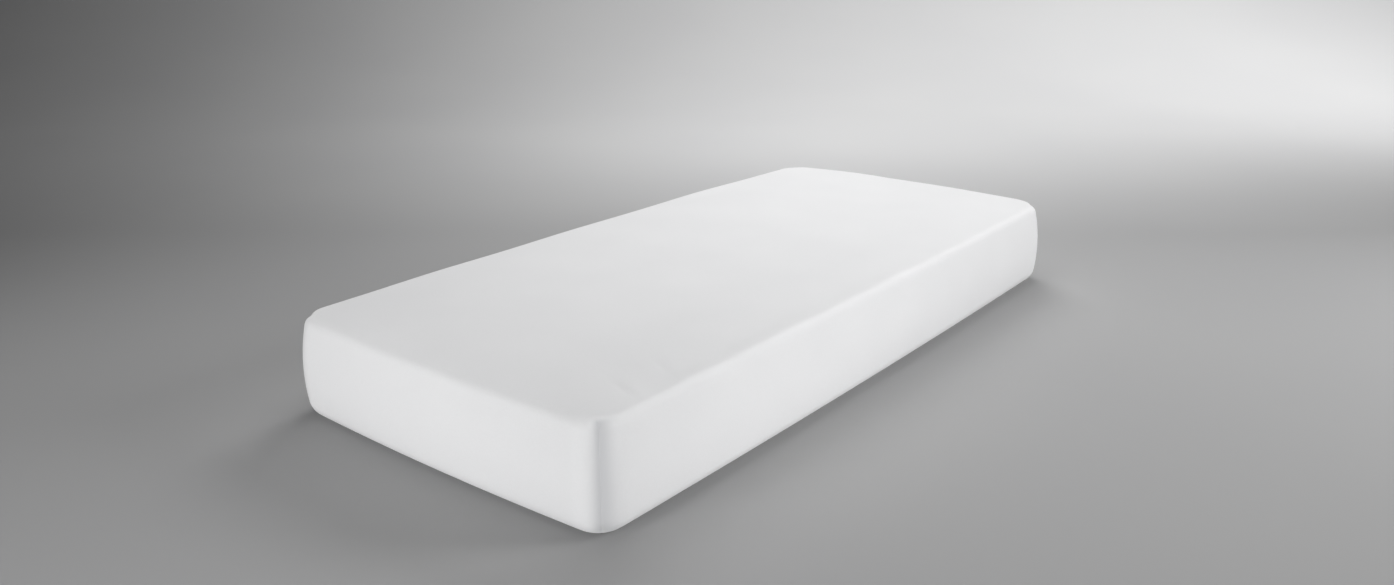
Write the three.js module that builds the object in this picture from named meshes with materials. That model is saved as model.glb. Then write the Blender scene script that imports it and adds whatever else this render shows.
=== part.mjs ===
// A fitted mattress protector pulled over a single mattress. Millimetres, +Z up. The foot end faces -Y,
// the long sides face +X and -X, and the origin is on the floor under the middle.
import * as THREE from "three";

// Driving dimensions
const WIDTH = 900; // over the widest part of the long sides
const LENGTH = 1900; // over the widest part of the two ends
const EDGE_HEIGHT = 222; // of the top at its edge
const CROWN = 8; // how far the middle of the top stands above its edge
const CROWN_REACH = 220; // distance from a long side or the head end over which the top rises
const FOOT_CROWN_REACH = 120; // the same from the foot end
const WIDEST_HEIGHT = 105; // where the sides stand out most
const BOW = 16; // how far they stand out there past the top edge
const LONG_SIDE_SWELL = 10; // how far the middle of a long side stands out past its ends, seen from above
const END_SWELL = 13; // the same for the foot end and the head end
const TOP_EDGE_RADIUS = 22;
const LOWER_EDGE_RADIUS = 46;
const TUCK = 70; // flat width of cloth turned under
const HEM_CORNER_RADIUS = 110; // of the opening underneath
const CLOTH = 2; // thickness of the cloth

// The radii of the upright corners at the top edge and at the floor. Between two corners they blend.
const CORNER_RADII = {
  foot: { left: [82, 74], right: [80, 70] },
  head: { left: [92, 90], right: [104, 86] },
};
const CORNER_BLEND_X = 250;
const CORNER_BLEND_Y = 600;

// How far the pulled cloth brings the corners of the top down.
const CORNER_DROPS = { foot: { left: 0, right: 4 }, head: { left: 7, right: 0 } };

// The mattress inside
const REST_GAP = 0.3; // between the mattress and the cloth under it
const TOP_GAP = 0.6; // between the mattress and the cloth on it
const SIDE_GAP = 3.4; // between them at the sides, where the cloth dips towards the mattress
const MATTRESS_TOP_EDGE_RADIUS = 29;
const MATTRESS_LOWER_EDGE_RADIUS = 50;
const MATTRESS_CORNER_ROUNDER = 14; // how much larger its corner radii are than the cloth's

// The upright seam at each corner: a trough that is steep on the side of the end and soft on the long side,
// wider and shallower further down.
const SEAM_START = 14; // way down the side from the edge of the top to the full depth
const SEAM_END = 235; // way down at which it has gone flat
const SEAM_RUN_OUT = 10;
const SEAM_DEPTH = 5.8;
const SEAM_FOOT_SHARE = 0.45; // share of the depth that is left near its end
const SEAM_WIDTH_ON_END = 7.5;
const SEAM_WIDTH_ON_SIDE = 19;
const SEAM_SPREAD = 6; // how much wider each half is near its end

// Creases in the top by the near corner: a valley along the middle of a low mound.
const FOLDS = [
  { fromX: 290, fromY: -780, toX: 440, toY: -822, halfWidth: 15, height: 6.4 },
  { fromX: 290, fromY: -654, toX: 428, toY: -718, halfWidth: 14, height: 3.6 },
  { fromX: 285, fromY: -575, toX: 385, toY: -620, halfWidth: 12, height: 1.2 },
];
const MOUND_WIDTH = 2; // of a crease's mound, in widths of its valley

// The lip that the pulled cloth makes along an edge of the top. at and reach lie along that edge, inside and
// outside are its widths on the top and down the side.
const LIPS = [
  { edge: "foot", at: -275, reach: 90, rise: 1.9, inside: 50, outside: 30 },
  { edge: "head", at: 120, reach: 170, rise: 2.2, inside: 46, outside: 40 },
  { edge: "head", at: -190, reach: 120, rise: 2.6, inside: 46, outside: 40 },
  { edge: "right", at: -665, reach: 60, rise: 2.4, inside: 34, outside: 50 },
  { edge: "right", at: -510, reach: 55, rise: 2, inside: 30, outside: 44 },
  { edge: "right", at: -345, reach: 95, rise: 3.3, inside: 36, outside: 52 },
  { edge: "right", at: -120, reach: 70, rise: 2.1, inside: 32, outside: 46 },
  { edge: "right", at: 60, reach: 85, rise: 2.9, inside: 36, outside: 50 },
  { edge: "right", at: 300, reach: 120, rise: 1.4, inside: 40, outside: 46 },
  { edge: "right", at: 620, reach: 130, rise: 1, inside: 44, outside: 44 },
  { edge: "left", at: -560, reach: 160, rise: 2.2, inside: 46, outside: 40 },
  { edge: "left", at: -120, reach: 190, rise: 1.8, inside: 46, outside: 40 },
  { edge: "left", at: 410, reach: 170, rise: 2.6, inside: 46, outside: 40 },
];
const EVEN_CORNER = 65; // lips and dips fade out this near a corner

// Shallow dips in the sides, between the stretches that the mattress pushes out. down is the way down.
const DIPS = [
  { edge: "foot", at: -255, reach: 95, down: 95, height: 80, depth: 1.9 },
  { edge: "foot", at: 290, reach: 80, down: 80, height: 75, depth: 1.5 },
  { edge: "head", at: -230, reach: 110, down: 90, height: 80, depth: 1.8 },
  { edge: "head", at: 250, reach: 90, down: 85, height: 75, depth: 1.6 },
  { edge: "right", at: -760, reach: 110, down: 75, height: 75, depth: 2.3 },
  { edge: "right", at: -330, reach: 80, down: 85, height: 70, depth: 1.3 },
  { edge: "right", at: 105, reach: 95, down: 80, height: 75, depth: 1.9 },
  { edge: "right", at: 480, reach: 85, down: 90, height: 80, depth: 1.5 },
  { edge: "left", at: -690, reach: 120, down: 85, height: 80, depth: 2.0 },
  { edge: "left", at: -150, reach: 110, down: 90, height: 75, depth: 1.6 },
  { edge: "left", at: 340, reach: 100, down: 80, height: 80, depth: 1.9 },
  { edge: "left", at: 740, reach: 90, down: 85, height: 75, depth: 1.4 },
];

// Grid lines, denser at the seams and at the edge of the top. Insets are counted from the edge.
const CLOTH_GRID = {
  insets: [0, 6, 14, 26, 46],
  across: 10,
  along: 20,
  topEdge: 4,
  side: 5,
  lowerEdge: 4,
  under: 2,
  finer: { fromX: 258, toX: 410, fromY: -862, toY: -556, across: 16, along: 34 },
};
const MATTRESS_GRID = {
  insets: [0, 22],
  across: 6,
  along: 12,
  topEdge: 3,
  side: 3,
  lowerEdge: 3,
  under: 1,
};

const QUARTER = Math.PI / 2;
const CORNER_TURN = Math.PI / 4; // half of a corner, from the end of a straight side to the seam
const mix = (from, to, share) => from + (to - from) * share;
const clamp = (value, low, high) => Math.min(Math.max(value, low), high);
const ease = (share) => {
  const t = clamp(share, 0, 1);
  return t * t * (3 - 2 * t);
};
const swell = (distance, reach) => Math.exp(-((distance / reach) ** 2));

// A soft box's section: an arc over the top edge, a bowed side, an arc at the floor, and the flat underneath.
// Each arc is given by its centre, its radius and the angle of its outward normal above the horizontal.
function softBox({ halfX, halfY, floor, top, topEdge, lowerEdge, rounder }) {
  const rise = top - WIDEST_HEIGHT;
  const sideRadius = (rise ** 2 + BOW ** 2) / (2 * BOW);
  const arc = (centre, height, radius, start, end) => ({
    centre,
    height,
    radius,
    start,
    end,
    length: radius * (start - end),
  });
  const joint = (edgeRadius, heightAboveWidest) => {
    const reach = Math.sqrt((sideRadius - edgeRadius) ** 2 - heightAboveWidest ** 2);
    return { centre: reach - sideRadius, angle: Math.atan2(heightAboveWidest, reach) };
  };
  const upper = joint(topEdge, rise - topEdge);
  const lower = joint(lowerEdge, floor + lowerEdge - WIDEST_HEIGHT);
  const arcs = [
    arc(upper.centre, top - topEdge, topEdge, QUARTER, upper.angle),
    arc(-sideRadius, WIDEST_HEIGHT, sideRadius, upper.angle, lower.angle),
    arc(lower.centre, floor + lowerEdge, lowerEdge, lower.angle, -QUARTER),
  ];
  const down = arcs[0].length + arcs[1].length + arcs[2].length;
  const rimOut = upper.centre;
  const rimX = halfX + rimOut;
  const rimY = halfY + rimOut;
  return { floor, top, arcs, down, rounder, halfX, halfY, rimOut, rimX, rimY };
}

// The box's corner radius at a height, for the corner that the flat place a, b lies nearest.
function cornerAt(box, height, a, b) {
  const share = (box.top - height) / (box.top - box.floor);
  const right = ease(0.5 + a / CORNER_BLEND_X / 2);
  const head = ease(0.5 + b / CORNER_BLEND_Y / 2);
  const ofEnd = (end) => mix(mix(...end.left, share), mix(...end.right, share), right);
  return mix(ofEnd(CORNER_RADII.foot), ofEnd(CORNER_RADII.head), head) + box.rounder;
}

// The box's level line at a way `over` past the edge of the top, by the flat place a, b.
function ringAt(box, over, a, b) {
  let left = clamp(over, 0, box.down + TUCK);
  const rimCorner = cornerAt(box, box.top, a, b) + box.rimOut;
  const line = (out, height, angle) => ({
    halfX: box.halfX + out,
    halfY: box.halfY + out,
    corner: cornerAt(box, height, a, b) + out,
    rimCorner,
    height,
    outward: Math.cos(angle),
    upward: Math.sin(angle),
  });
  for (const arc of box.arcs) {
    if (left <= arc.length) {
      const angle = arc.start - left / arc.radius;
      const out = arc.centre + arc.radius * Math.cos(angle);
      return line(out, arc.height + arc.radius * Math.sin(angle), angle);
    }
    left -= arc.length;
  }
  const innermost = box.arcs[2].centre;
  const under = line(innermost - left, box.floor, -QUARTER);
  const flatCorner = cornerAt(box, box.floor, a, b) + innermost;
  return { ...under, corner: mix(flatCorner, HEM_CORNER_RADIUS, left / TUCK) };
}

// Moves a coordinate of the top onto a wider or narrower level line, straight to straight and corner to
// corner.
function fitLine(value, rimHalf, half, { corner, rimCorner }) {
  const inset = rimHalf - Math.abs(value);
  const inCorner = half - (inset * corner) / rimCorner;
  const onStraight = (Math.abs(value) * (half - corner)) / (rimHalf - rimCorner);
  return Math.sign(value) * (inset < rimCorner ? inCorner : onStraight);
}

// Rounds the corners of a rectangle and of every line that runs inside it. Also gives the way outwards.
function roundedPlace(x, y, halfX, halfY, corner) {
  const insetX = halfX - Math.abs(x);
  const insetY = halfY - Math.abs(y);
  const inset = Math.min(insetX, insetY);
  const along = Math.max(insetX, insetY);
  const nearX = insetX < insetY;
  if (along >= corner) return { x, y, outX: nearX ? Math.sign(x) : 0, outY: nearX ? 0 : Math.sign(y) };
  const radius = corner - inset;
  const turn = CORNER_TURN * (1 - (along - inset) / radius);
  const outX = Math.sign(x) * (nearX ? Math.cos(turn) : Math.sin(turn));
  const outY = Math.sign(y) * (nearX ? Math.sin(turn) : Math.cos(turn));
  return {
    x: Math.sign(x) * (halfX - corner) + radius * outX,
    y: Math.sign(y) * (halfY - corner) + radius * outY,
    outX,
    outY,
  };
}

// How far the crowned top stands above its edge.
function crownAt(box, x, y) {
  const share = (inset, reach) => 1 - (1 - clamp(inset / reach, 0, 1)) ** 2;
  const fromEnds = share(box.rimY - y, CROWN_REACH) * share(box.rimY + y, FOOT_CROWN_REACH);
  return CROWN * share(box.rimX - Math.abs(x), CROWN_REACH) * fromEnds;
}

// Bends the even box: each side swells out in its middle, seen from above, and the corners of the top drop.
function bent(x, y, z) {
  const shareX = (2 * x) / WIDTH;
  const shareY = (2 * y) / LENGTH;
  const shareZ = z / EDGE_HEIGHT;
  const drop = CORNER_DROPS[y < 0 ? "foot" : "head"][x < 0 ? "left" : "right"];
  return new THREE.Vector3(
    x * (1 - ((2 * LONG_SIDE_SWELL) / WIDTH) * shareY ** 2),
    y * (1 - ((2 * END_SWELL) / LENGTH) * shareX ** 2),
    z - drop * (shareX * shareY * shareZ) ** 2,
  );
}

// A point of the box's skin and its outward normal. On the top a and b are x and y, and past the edge of
// the top they count the way down the side and under, as on the flat cloth.
function skinAt(box, a, b) {
  const over = Math.max(Math.abs(a) - box.rimX, Math.abs(b) - box.rimY, 0);
  const ring = ringAt(box, over, a, b);
  const lineX = fitLine(clamp(a, -box.rimX, box.rimX), box.rimX, ring.halfX, ring);
  const lineY = fitLine(clamp(b, -box.rimY, box.rimY), box.rimY, ring.halfY, ring);
  const { x, y, outX, outY } = roundedPlace(lineX, lineY, ring.halfX, ring.halfY, ring.corner);
  if (over > 0) {
    const normal = new THREE.Vector3(outX * ring.outward, outY * ring.outward, ring.upward);
    return { point: bent(x, y, ring.height), normal };
  }
  const step = 1;
  const slopeX = (crownAt(box, x + step, y) - crownAt(box, x - step, y)) / (2 * step);
  const slopeY = (crownAt(box, x, y + step) - crownAt(box, x, y - step)) / (2 * step);
  const normal = new THREE.Vector3(-slopeX, -slopeY, 1).normalize();
  return { point: bent(x, y, ring.height + crownAt(box, x, y)), normal };
}

// Where a point of the cloth lies against the nearest edge of the top: along it, past it (negative on the
// top) and in from that edge's nearer end.
function edgePlace(box, a, b) {
  const pastX = Math.abs(a) - box.rimX;
  const pastY = Math.abs(b) - box.rimY;
  const longSide = pastX > pastY;
  const along = longSide ? b : a;
  const sideEdge = a > 0 ? "right" : "left";
  const endEdge = b > 0 ? "head" : "foot";
  const end = (longSide ? box.rimY : box.rimX) - Math.abs(along);
  return { edge: longSide ? sideEdge : endEdge, along, past: Math.max(pastX, pastY), end };
}

function foldRelief({ fromX, fromY, toX, toY, halfWidth, height }, a, b) {
  const length = Math.hypot(toX - fromX, toY - fromY);
  const stepX = (toX - fromX) / length;
  const stepY = (toY - fromY) / length;
  const share = ((a - fromX) * stepX + (b - fromY) * stepY) / length;
  if (share <= 0 || share >= 1) return 0;
  const aside = ((a - fromX) * stepY - (b - fromY) * stepX) / halfWidth;
  const taper = Math.sin(Math.PI * share) ** 2;
  return height * taper * (swell(aside, MOUND_WIDTH) - swell(aside, 1));
}

function lipRelief({ edge, at, reach, rise, inside, outside }, place) {
  if (edge !== place.edge) return 0;
  const across = place.past < 0 ? 1 + place.past / inside : 1 - place.past / outside;
  return rise * swell(place.along - at, reach) * ease(across);
}

function dipRelief({ edge, at, reach, down, height, depth }, place) {
  if (edge !== place.edge || place.past <= 0) return 0;
  return -depth * swell(place.along - at, reach) * ease(1 - Math.abs(place.past - down) / height);
}

function seamRelief({ edge, past, end }) {
  if (past <= 0 || past >= SEAM_END) return 0;
  const share = past / SEAM_END;
  const onSide = edge === "right" || edge === "left";
  const halfWidth = (onSide ? SEAM_WIDTH_ON_SIDE : SEAM_WIDTH_ON_END) + SEAM_SPREAD * share;
  const depth = SEAM_DEPTH * mix(1, SEAM_FOOT_SHARE, ease(share));
  return -depth * ease(past / SEAM_START) * ease((SEAM_END - past) / SEAM_RUN_OUT) * swell(end, halfWidth);
}

// How far the cloth stands off its even shape at a point.
function clothRelief(box, a, b) {
  const place = edgePlace(box, a, b);
  const sum = (rows, height) => rows.reduce((total, row) => total + height(row), 0);
  const atEdges = sum(LIPS, (lip) => lipRelief(lip, place)) + sum(DIPS, (dip) => dipRelief(dip, place));
  const awayFromSeam = ease((place.end - Math.abs(Math.min(place.past, 0))) / EVEN_CORNER);
  return sum(FOLDS, (fold) => foldRelief(fold, a, b)) + awayFromSeam * atEdges + seamRelief(place);
}

// Even steps from one number to another, both ends included.
const steps = (from, to, count) => Array.from({ length: count + 1 }, (_, i) => mix(from, to, i / count));

function gridLines(box, grid) {
  const across = (half, count) => {
    const inner = half - EVEN_CORNER;
    const near = grid.insets.map((inset) => half - inset);
    return [...near.map((x) => -x), ...steps(-inner, inner, count), ...near.reverse()];
  };
  const [topEdge, side, lowerEdge] = box.arcs.map((arc) => arc.length);
  const marks = [
    ...steps(0, topEdge, grid.topEdge),
    ...steps(topEdge, topEdge + side, grid.side).slice(1),
    ...steps(topEdge + side, topEdge + side + lowerEdge, grid.lowerEdge).slice(1),
    ...steps(box.down, box.down + TUCK, grid.under).slice(1),
  ];
  const xs = across(box.rimX, grid.across);
  const ys = across(box.rimY, grid.along);
  return { xs, ys, overs: marks.slice(1), finer: grid.finer };
}

// The index pairs that run once round the rim of the grid, anticlockwise from above.
function rimOrder(lastX, lastY) {
  const order = [];
  for (let i = 0; i < lastX; i++) order.push([i, 0]);
  for (let j = 0; j < lastY; j++) order.push([lastX, j]);
  for (let i = lastX; i > 0; i--) order.push([i, lastY]);
  for (let j = lastY; j > 0; j--) order.push([0, j]);
  return order;
}

// The flat cloth's coordinates of a rim place carried `over` down its side. A corner has one for both sides.
function overRim(box, x, y, over) {
  const onEnd = Math.abs(y) === box.rimY;
  return onEnd ? [x, y + Math.sign(y) * over] : [x + Math.sign(x) * over, y];
}

// The grid lines between which a patch lies.
const linesAround = (lines, from, to) => [
  lines.findLastIndex((line) => line < from),
  lines.findIndex((line) => line > to),
];

// The points of one face of the skin, and the triangles that join them, facing out.
function skinFace(box, lines, relief) {
  const { xs, ys, overs, finer } = lines;
  const lastX = xs.length - 1;
  const lastY = ys.length - 1;
  const points = [];
  const triangles = [];
  const add = (a, b) => {
    const { point, normal } = skinAt(box, a, b);
    points.push(point.addScaledVector(normal, relief(a, b)));
    return points.length - 1;
  };
  const top = xs.map((x) => ys.map((y) => add(x, y)));
  const [left, right] = finer ? linesAround(xs, finer.fromX, finer.toX) : [lastX, lastX];
  const [near, far] = finer ? linesAround(ys, finer.fromY, finer.toY) : [lastY, lastY];
  for (let i = 0; i < lastX; i++) {
    for (let j = 0; j < lastY; j++) {
      if (i >= left && i < right && j >= near && j < far) continue;
      const quad = [top[i][j], top[i + 1][j], top[i + 1][j + 1], top[i][j + 1]];
      const alike = i < lastX / 2 === j < lastY / 2;
      triangles.push(...(alike ? splitQuad(quad) : splitQuad([...quad.slice(1), quad[0]])));
    }
  }
  if (finer) {
    const fineXs = steps(finer.fromX, finer.toX, finer.across);
    const fineYs = steps(finer.fromY, finer.toY, finer.along);
    const patch = fineXs.map((x) => fineYs.map((y) => add(x, y)));
    for (let i = 0; i < finer.across; i++)
      for (let j = 0; j < finer.along; j++)
        triangles.push(...splitQuad([patch[i + 1][j], patch[i + 1][j + 1], patch[i][j + 1], patch[i][j]]));
    const outer = rectangleSides(top, xs, ys, left, right, near, far);
    const inner = rectangleSides(patch, fineXs, fineYs, 0, finer.across, 0, finer.along);
    outer.forEach((side, k) => triangles.push(...joinTriangles(side, inner[k])));
  }
  const rim = rimOrder(lastX, lastY);
  let above = rim.map(([i, j]) => top[i][j]);
  for (const over of overs) {
    const below = rim.map(([i, j]) => add(...overRim(box, xs[i], ys[j], over)));
    triangles.push(...bandTriangles(above, below));
    above = below;
  }
  return { points, triangles, last: above };
}

// The four sides of a rectangle in a grid, anticlockwise from above. Each is a row of points, with where
// each lies along the side.
function rectangleSides(grid, xs, ys, left, right, near, far) {
  const acrossAt = (j) => xs.slice(left, right + 1).map((x, k) => ({ index: grid[left + k][j], at: x }));
  const alongAt = (i) => ys.slice(near, far + 1).map((y, k) => ({ index: grid[i][near + k], at: y }));
  return [acrossAt(near), alongAt(right), acrossAt(far).reverse(), alongAt(left).reverse()];
}

// The band between two rows of different counts that run the same way, the inner one on the left.
function joinTriangles(outer, inner) {
  const triangles = [];
  const gap = (one, other) => (one && other ? Math.abs(one.at - other.at) : Infinity);
  let i = 0;
  let j = 0;
  while (i < outer.length - 1 || j < inner.length - 1) {
    if (gap(outer[i + 1], inner[j]) < gap(outer[i], inner[j + 1])) {
      triangles.push([outer[i].index, outer[i + 1].index, inner[j].index]);
      i++;
    } else {
      triangles.push([outer[i].index, inner[j + 1].index, inner[j].index]);
      j++;
    }
  }
  return triangles;
}

const splitQuad = ([p, q, r, s]) => [
  [p, q, r],
  [p, r, s],
];

// The band between two loops of the same count, facing away from the middle when the first one is above.
function bandTriangles(above, below) {
  const next = (loop, i) => loop[(i + 1) % loop.length];
  return above.flatMap((start, i) => splitQuad([start, below[i], next(below, i), next(above, i)]));
}

function meshOf(name, points, triangles, material) {
  const geometry = new THREE.BufferGeometry().setFromPoints(points);
  geometry.setIndex(triangles.flat());
  geometry.computeVertexNormals();
  const mesh = new THREE.Mesh(geometry, material);
  mesh.name = name;
  return mesh;
}

const clothBox = softBox({
  halfX: WIDTH / 2,
  halfY: LENGTH / 2,
  floor: 0,
  top: EDGE_HEIGHT,
  topEdge: TOP_EDGE_RADIUS,
  lowerEdge: LOWER_EDGE_RADIUS,
  rounder: 0,
});

const mattressBox = softBox({
  halfX: WIDTH / 2 - CLOTH - SIDE_GAP,
  halfY: LENGTH / 2 - CLOTH - SIDE_GAP,
  floor: CLOTH + REST_GAP,
  top: EDGE_HEIGHT - CLOTH - TOP_GAP,
  topEdge: MATTRESS_TOP_EDGE_RADIUS,
  lowerEdge: MATTRESS_LOWER_EDGE_RADIUS,
  rounder: MATTRESS_CORNER_ROUNDER,
});

// The cloth: its outer face, its inner face turned round, and the cut edge of the hem between them.
function mattressProtector() {
  const lines = gridLines(clothBox, CLOTH_GRID);
  const outer = skinFace(clothBox, lines, (a, b) => clothRelief(clothBox, a, b));
  const inner = skinFace(clothBox, lines, (a, b) => clothRelief(clothBox, a, b) - CLOTH);
  const shift = outer.points.length;
  const innerTriangles = inner.triangles.map(([p, q, r]) => [p + shift, r + shift, q + shift]);
  const hem = bandTriangles(
    outer.last,
    inner.last.map((index) => index + shift),
  );
  const cloth = new THREE.MeshStandardMaterial({ color: 0xe9e9eb, roughness: 0.92, metalness: 0 });
  const points = [...outer.points, ...inner.points];
  return meshOf("mattress_protector", points, [...outer.triangles, ...innerTriangles, ...hem], cloth);
}

// The mattress: the same kind of skin, closed by a flat plate underneath.
function mattress() {
  const { xs, ys, overs } = gridLines(mattressBox, MATTRESS_GRID);
  const { points, triangles, last } = skinFace(mattressBox, { xs, ys, overs }, () => 0);
  const rim = rimOrder(xs.length - 1, ys.length - 1);
  const rimIndex = new Map(rim.map(([i, j], k) => [`${i},${j}`, last[k]]));
  const plate = xs.map((x, i) =>
    ys.map((y, j) => {
      if (rimIndex.has(`${i},${j}`)) return rimIndex.get(`${i},${j}`);
      const hem = ringAt(mattressBox, mattressBox.down + TUCK, x, y);
      const lineX = fitLine(x, mattressBox.rimX, hem.halfX, hem);
      const lineY = fitLine(y, mattressBox.rimY, hem.halfY, hem);
      const place = roundedPlace(lineX, lineY, hem.halfX, hem.halfY, hem.corner);
      points.push(bent(place.x, place.y, hem.height));
      return points.length - 1;
    }),
  );
  for (let i = 0; i < xs.length - 1; i++) {
    for (let j = 0; j < ys.length - 1; j++) {
      const quad = [plate[i][j], plate[i][j + 1], plate[i + 1][j + 1], plate[i + 1][j]];
      const alike = i < (xs.length - 1) / 2 === j < (ys.length - 1) / 2;
      triangles.push(...(alike ? splitQuad(quad) : splitQuad([...quad.slice(1), quad[0]])));
    }
  }
  const ticking = new THREE.MeshStandardMaterial({ color: 0xdedcd6, roughness: 0.9, metalness: 0 });
  return meshOf("mattress", points, triangles, ticking);
}

const bedding = new THREE.Group();
bedding.add(mattress(), mattressProtector());

export default bedding;
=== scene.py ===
# A fitted mattress protector pulled over a single mattress. Metres, +Z up. The foot end faces -Y, the long
# sides face +X and -X, and the origin is on the floor under the middle.
import math

import bpy
import numpy as np
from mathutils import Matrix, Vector


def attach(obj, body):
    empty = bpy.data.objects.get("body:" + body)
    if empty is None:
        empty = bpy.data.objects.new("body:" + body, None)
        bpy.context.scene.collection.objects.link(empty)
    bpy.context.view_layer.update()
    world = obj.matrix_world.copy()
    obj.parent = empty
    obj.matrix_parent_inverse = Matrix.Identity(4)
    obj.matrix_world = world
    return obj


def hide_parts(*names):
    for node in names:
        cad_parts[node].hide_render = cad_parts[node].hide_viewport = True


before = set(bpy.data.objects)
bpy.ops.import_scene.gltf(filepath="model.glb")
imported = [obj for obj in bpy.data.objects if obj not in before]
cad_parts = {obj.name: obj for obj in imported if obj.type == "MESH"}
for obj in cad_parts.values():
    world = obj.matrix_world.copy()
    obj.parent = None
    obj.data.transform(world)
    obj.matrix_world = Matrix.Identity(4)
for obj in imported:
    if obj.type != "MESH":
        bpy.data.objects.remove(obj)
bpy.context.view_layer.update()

# The cloth's sizes
WIDTH = 0.900  # over the widest part of the long sides
LENGTH = 1.900  # over the widest part of the two ends
EDGE_HEIGHT = 0.222  # of the top at its edge
CROWN = 0.008  # how far the middle of the top stands above its edge
CROWN_REACH = 0.220  # distance from a long side or the head end over which the top rises
FOOT_CROWN_REACH = 0.120  # the same from the foot end
WIDEST_HEIGHT = 0.105  # where the sides stand out most
BOW = 0.016  # how far they stand out there past the top edge
LONG_SIDE_SWELL = 0.010  # how far the middle of a long side stands out past its ends
END_SWELL = 0.013  # the same for the foot end and the head end
TUCK = 0.070  # flat width of cloth turned under
HEM_CORNER_RADIUS = 0.110  # of the opening underneath
CLOTH = 0.002  # thickness of the cloth

# The radii of the upright corners at the top edge and at the floor. Between two corners they blend.
CORNER_RADII = {
    "foot": {"left": (0.082, 0.074), "right": (0.080, 0.070)},
    "head": {"left": (0.092, 0.090), "right": (0.104, 0.086)},
}
CORNER_BLEND_X = 0.25  # half the width over which the radii of two corners blend across
CORNER_BLEND_Y = 0.60  # and lengthwise

# How far the pulled cloth brings the corners of the top down
CORNER_DROPS = {"foot": {"left": 0.0, "right": 0.004}, "head": {"left": 0.007, "right": 0.0}}

# The two skins: half width and half length at the widest, height of the floor and of the top, edge radii,
# and how much rounder its corners are than the cloth's
CLOTH_SKIN = {
    "half_x": WIDTH / 2,
    "half_y": LENGTH / 2,
    "floor": 0.0,
    "top": EDGE_HEIGHT,
    "top_edge": 0.022,
    "lower_edge": 0.046,
    "rounder": 0.0,
}
MATTRESS_SKIN = {
    "half_x": 0.4446,
    "half_y": 0.9446,
    "floor": 0.0023,
    "top": 0.2194,
    "top_edge": 0.029,
    "lower_edge": 0.050,
    "rounder": 0.014,
}

# The upright seam at each corner: a trough with the sewn line at its bottom, steep on the side of the end
# and soft on the long side, wider and shallower further down
SEAM_START = 0.014  # way down from the top edge over which it deepens
SEAM_END = 0.235  # way down at which it has run out
SEAM_RUN_OUT = 0.010
SEAM_DEPTH = 0.0058
SEAM_FOOT_SHARE = 0.45  # of the depth, left at the lower end
SEAM_WIDTH_ON_END = 0.0075
SEAM_WIDTH_ON_SIDE = 0.019
SEAM_SPREAD = 0.006  # how much wider it is at the lower end
SEAM_SHADE_POWER = 1.1  # how much narrower the painted shade in the trough is than the trough
SEWN_LINE_HALF_WIDTH = 0.0011
SEWN_LINE_DEPTH = 0.0006

# The hem under the mattress: its stitches lie in a shallow channel
HEM_WIDTH = 0.014
HEM_CHANNEL_HALF_WIDTH = 0.0013
HEM_CHANNEL_DEPTH = 0.0006

# Creases in the top by the near corner: a valley along the middle of a low mound, from one place to another
FOLDS = [
    {"start": (0.290, -0.780), "end": (0.440, -0.822), "half_width": 0.015, "height": 0.0064},
    {"start": (0.290, -0.654), "end": (0.428, -0.718), "half_width": 0.014, "height": 0.0036},
    {"start": (0.285, -0.575), "end": (0.385, -0.620), "half_width": 0.012, "height": 0.0012},
]
MOUND_WIDTH = 2.0  # of a crease's mound, in widths of its valley

# The lip that the pulled cloth makes along an edge of the top. at and reach lie along that edge, inside and
# outside are its widths on the top and down the side.
LIPS = [
    {"edge": "foot", "at": -0.275, "reach": 0.090, "rise": 0.0019, "inside": 0.050, "outside": 0.030},
    {"edge": "head", "at": 0.120, "reach": 0.170, "rise": 0.0022, "inside": 0.046, "outside": 0.040},
    {"edge": "head", "at": -0.190, "reach": 0.120, "rise": 0.0026, "inside": 0.046, "outside": 0.040},
    {"edge": "right", "at": -0.665, "reach": 0.060, "rise": 0.0024, "inside": 0.034, "outside": 0.050},
    {"edge": "right", "at": -0.510, "reach": 0.055, "rise": 0.0020, "inside": 0.030, "outside": 0.044},
    {"edge": "right", "at": -0.345, "reach": 0.095, "rise": 0.0033, "inside": 0.036, "outside": 0.052},
    {"edge": "right", "at": -0.120, "reach": 0.070, "rise": 0.0021, "inside": 0.032, "outside": 0.046},
    {"edge": "right", "at": 0.060, "reach": 0.085, "rise": 0.0029, "inside": 0.036, "outside": 0.050},
    {"edge": "right", "at": 0.300, "reach": 0.120, "rise": 0.0014, "inside": 0.040, "outside": 0.046},
    {"edge": "right", "at": 0.620, "reach": 0.130, "rise": 0.0010, "inside": 0.044, "outside": 0.044},
    {"edge": "left", "at": -0.560, "reach": 0.160, "rise": 0.0022, "inside": 0.046, "outside": 0.040},
    {"edge": "left", "at": -0.120, "reach": 0.190, "rise": 0.0018, "inside": 0.046, "outside": 0.040},
    {"edge": "left", "at": 0.410, "reach": 0.170, "rise": 0.0026, "inside": 0.046, "outside": 0.040},
]
EVEN_CORNER = 0.065  # lips and dips fade out this near a corner

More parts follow.
